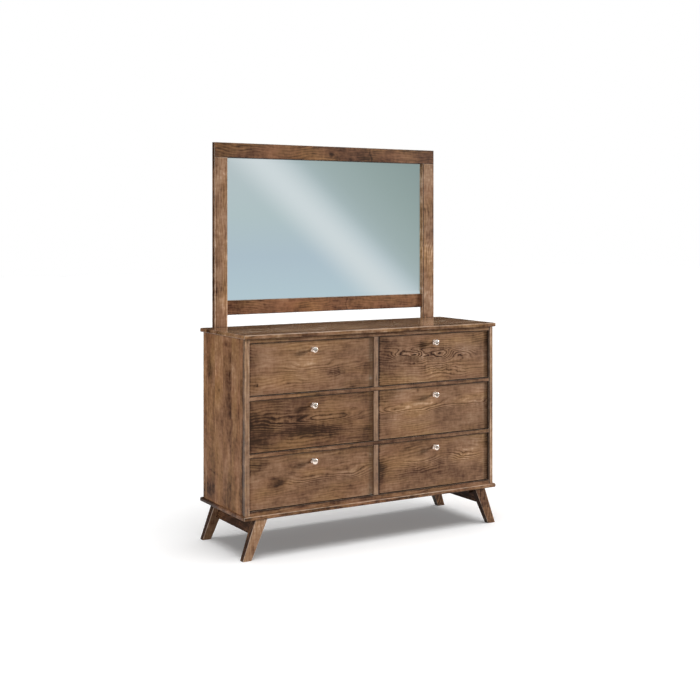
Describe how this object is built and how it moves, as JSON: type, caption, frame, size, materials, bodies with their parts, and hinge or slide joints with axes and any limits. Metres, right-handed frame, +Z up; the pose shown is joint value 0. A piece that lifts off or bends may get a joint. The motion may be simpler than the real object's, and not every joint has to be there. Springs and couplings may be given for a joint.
{
  "type": "dresser",
  "caption": "Wooden dresser on splayed tapered legs, with drawers on telescopic slides in a face frame and a framed wall mirror standing on its top.",
  "frame": {"origin": "on the floor, below the middle of the whole piece", "axes": "+Z up, front faces -Y, +X to the right as seen from the front"},
  "size_m": [1.426, 0.5096, 1.921],
  "materials": {
    "case_maple": "glazed satin lacquer",
    "drawer_front_maple": "glazed satin lacquer over figured brown maple",
    "mirror_frame_maple": "glazed satin lacquer",
    "inner_hardwood": "sealed",
    "drawer_box_birch": "clear lacquer",
    "back_plywood": "stained plywood",
    "satin_nickel": "satin nickel",
    "slide_steel": "bright zinc",
    "screw_steel": "zinc plated",
    "mirror_glass": "silvered, bevelled"
  },
  "bodies": {
    "root": {"top_board": "case_maple", "base_board": "case_maple", "left_side_panel": "case_maple", "right_side_panel": "case_maple", "centre_partition": "case_maple", "left_stile": "case_maple", "right_stile": "case_maple", "top_rail": "case_maple", "upper_divider_rail": "case_maple", "lower_divider_rail": "case_maple", "bottom_rail": "case_maple", "mullions": "case_maple", "front_left_leg": "case_maple", "front_right_leg": "case_maple", "rear_left_leg": "case_maple", "rear_right_leg": "case_maple", "left_apron": "case_maple", "right_apron": "case_maple", "mirror_top_rail": "mirror_frame_maple", "mirror_bottom_rail": "mirror_frame_maple", "mirror_left_post": "mirror_frame_maple", "mirror_right_post": "mirror_frame_maple", "corner_blocks": "inner_hardwood", "mirror_supports": "inner_hardwood", "slide_blocking": "inner_hardwood", "back_panel": "back_plywood", "mirror_backing": "back_plywood", "mirror_glass": "mirror_glass", "slide_cabinet_members": "slide_steel", "screws": "screw_steel"},
    "bottom_left_drawer": {"bottom_left_drawer_front": "drawer_front_maple", "bottom_left_drawer_box": "drawer_box_birch", "bottom_left_knob": "satin_nickel", "bottom_left_slide_drawer_members": "slide_steel"},
    "bottom_left_slide_carrier": {"bottom_left_slide_intermediates": "slide_steel"},
    "bottom_right_drawer": {"bottom_right_drawer_front": "drawer_front_maple", "bottom_right_drawer_box": "drawer_box_birch", "bottom_right_knob": "satin_nickel", "bottom_right_slide_drawer_members": "slide_steel"},
    "bottom_right_slide_carrier": {"bottom_right_slide_intermediates": "slide_steel"},
    "middle_left_drawer": {"middle_left_drawer_front": "drawer_front_maple", "middle_left_drawer_box": "drawer_box_birch", "middle_left_knob": "satin_nickel", "middle_left_slide_drawer_members": "slide_steel"},
    "middle_left_slide_carrier": {"middle_left_slide_intermediates": "slide_steel"},
    "middle_right_drawer": {"middle_right_drawer_front": "drawer_front_maple", "middle_right_drawer_box": "drawer_box_birch", "middle_right_knob": "satin_nickel", "middle_right_slide_drawer_members": "slide_steel"},
    "middle_right_slide_carrier": {"middle_right_slide_intermediates": "slide_steel"},
    "top_left_drawer": {"top_left_drawer_front": "drawer_front_maple", "top_left_drawer_box": "drawer_box_birch", "top_left_knob": "satin_nickel", "top_left_slide_drawer_members": "slide_steel"},
    "top_left_slide_carrier": {"top_left_slide_intermediates": "slide_steel"},
    "top_right_drawer": {"top_right_drawer_front": "drawer_front_maple", "top_right_drawer_box": "drawer_box_birch", "top_right_knob": "satin_nickel", "top_right_slide_drawer_members": "slide_steel"},
    "top_right_slide_carrier": {"top_right_slide_intermediates": "slide_steel"}
  },
  "joints": [
    {"name": "bottom_left_drawer_slide", "type": "slide", "parent": "root", "child": "bottom_left_drawer", "axis": [0, -1, 0], "range_m": [0, 0.4]},
    {"name": "bottom_left_carrier_slide", "type": "slide", "parent": "root", "child": "bottom_left_slide_carrier", "axis": [0, -1, 0], "range_m": [0, 0.2]},
    {"name": "bottom_right_drawer_slide", "type": "slide", "parent": "root", "child": "bottom_right_drawer", "axis": [0, -1, 0], "range_m": [0, 0.4]},
    {"name": "bottom_right_carrier_slide", "type": "slide", "parent": "root", "child": "bottom_right_slide_carrier", "axis": [0, -1, 0], "range_m": [0, 0.2]},
    {"name": "middle_left_drawer_slide", "type": "slide", "parent": "root", "child": "middle_left_drawer", "axis": [0, -1, 0], "range_m": [0, 0.4]},
    {"name": "middle_left_carrier_slide", "type": "slide", "parent": "root", "child": "middle_left_slide_carrier", "axis": [0, -1, 0], "range_m": [0, 0.2]},
    {"name": "middle_right_drawer_slide", "type": "slide", "parent": "root", "child": "middle_right_drawer", "axis": [0, -1, 0], "range_m": [0, 0.4]},
    {"name": "middle_right_carrier_slide", "type": "slide", "parent": "root", "child": "middle_right_slide_carrier", "axis": [0, -1, 0], "range_m": [0, 0.2]},
    {"name": "top_left_drawer_slide", "type": "slide", "parent": "root", "child": "top_left_drawer", "axis": [0, -1, 0], "range_m": [0, 0.4]},
    {"name": "top_left_carrier_slide", "type": "slide", "parent": "root", "child": "top_left_slide_carrier", "axis": [0, -1, 0], "range_m": [0, 0.2]},
    {"name": "top_right_drawer_slide", "type": "slide", "parent": "root", "child": "top_right_drawer", "axis": [0, -1, 0], "range_m": [0, 0.4]},
    {"name": "top_right_carrier_slide", "type": "slide", "parent": "root", "child": "top_right_slide_carrier", "axis": [0, -1, 0], "range_m": [0, 0.2]}
  ],
  "couplings": [
    {"joint": "bottom_left_carrier_slide", "follows": "bottom_left_drawer_slide", "ratio": 0.5},
    {"joint": "bottom_right_carrier_slide", "follows": "bottom_right_drawer_slide", "ratio": 0.5},
    {"joint": "middle_left_carrier_slide", "follows": "middle_left_drawer_slide", "ratio": 0.5},
    {"joint": "middle_right_carrier_slide", "follows": "middle_right_drawer_slide", "ratio": 0.5},
    {"joint": "top_left_carrier_slide", "follows": "top_left_drawer_slide", "ratio": 0.5},
    {"joint": "top_right_carrier_slide", "follows": "top_right_drawer_slide", "ratio": 0.5}
  ]
}
